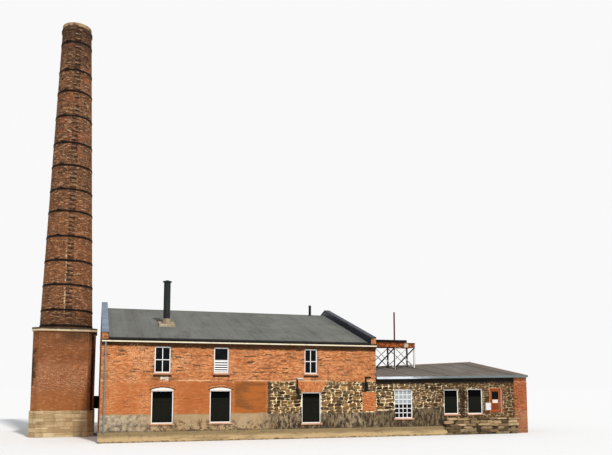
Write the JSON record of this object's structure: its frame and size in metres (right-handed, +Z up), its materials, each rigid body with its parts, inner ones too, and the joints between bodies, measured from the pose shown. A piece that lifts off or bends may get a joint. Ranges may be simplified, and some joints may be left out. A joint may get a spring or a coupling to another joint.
{
  "type": "old brick factory building with a stone wing and a round chimney",
  "caption": "Gabled two-storey brick factory block with a low stone wing, a hinged side door, a rusty roof stand and a tall banded round chimney.",
  "frame": {"origin": "ground level under the middle of the whole outline", "axes": "+X along the front wall to the viewer's right, +Y back from the front, +Z up"},
  "size_m": [37.715, 21.52, 32.45],
  "materials": {
    "block_brick": "rough",
    "arch_brick": "rough",
    "pier_brick": "rough",
    "chimney_brick": "rough",
    "rubble_stone": "rough",
    "footing_rock": "rough",
    "base_stone": "rough",
    "ledge_stone": "rough",
    "slate_blue_sheet": "satin",
    "dark_sheet": "satin",
    "roof_membrane": "matt",
    "wing_roof_felt": "matt",
    "cream_paint": "satin",
    "grey_pipe": "satin",
    "gutter_steel": "satin",
    "dark_timber": "matt",
    "concrete": "rough",
    "floor_boards": "matt",
    "cement_render": "rough",
    "white_paint": "satin",
    "dark_boards": "matt",
    "glass": "clear",
    "flue_brown": "satin",
    "galvanised": "satin",
    "black_iron": "matt",
    "orange_paint": "satin",
    "white_plastic": "satin",
    "rusty_steel": "rusted"
  },
  "bodies": {
    "root": {"block_arches_and_infills": "arch_brick", "block_back_gutter": "cream_paint", "block_back_wall": "block_brick", "block_downpipe": "grey_pipe", "block_front_brick": "block_brick", "block_front_gutter": "cream_paint", "block_front_stone": "rubble_stone", "block_ground_floor": "concrete", "block_left_coping": "slate_blue_sheet", "block_left_gable": "block_brick", "block_right_coping": "dark_sheet", "block_right_gable": "block_brick", "block_roof_back": "roof_membrane", "block_roof_front": "roof_membrane", "block_sills": "cement_render", "block_upper_floor": "floor_boards", "block_window_frames": "white_paint", "chimney_base": "base_stone", "chimney_corner_pipe": "black_iron", "chimney_ironwork": "black_iron", "chimney_ledge": "ledge_stone", "chimney_pedestal": "chimney_brick", "chimney_shaft": "chimney_brick", "door_frame": "white_paint", "flue_curb": "flue_brown", "flue_duct": "black_iron", "flue_pipe": "galvanised", "front_footing": "concrete", "front_window_glass": "glass", "opening_boards": "dark_boards", "plinth_render": "cement_render", "roof_vent": "galvanised", "side_window_frames": "white_paint", "side_window_glass": "glass", "stand_braces": "rusty_steel", "stand_posts": "rusty_steel", "stand_top_frame": "rusty_steel", "wall_box": "white_plastic", "wall_pipes": "black_iron", "wing_back_wall": "rubble_stone", "wing_brick_pier": "pier_brick", "wing_end_wall": "rubble_stone", "wing_fascia": "dark_timber", "wing_floor": "concrete", "wing_front_wall_left": "rubble_stone", "wing_front_wall_right": "rubble_stone", "wing_gutter": "gutter_steel", "wing_rock_ledge": "footing_rock", "wing_roof": "wing_roof_felt", "wing_sills": "cement_render", "wing_wall_over_door": "rubble_stone", "wing_wall_under_door": "rubble_stone", "wing_window_frames": "white_paint"},
    "door": {"door_leaf": "orange_paint", "door_glass": "glass", "door_fittings": "black_iron"}
  },
  "joints": [
    {"name": "door_hinge", "type": "hinge", "parent": "root", "child": "door", "pos_m": [16.53, -10.042, 2.5], "axis": [0, 0, -1], "range_deg": [0, 90]}
  ]
}
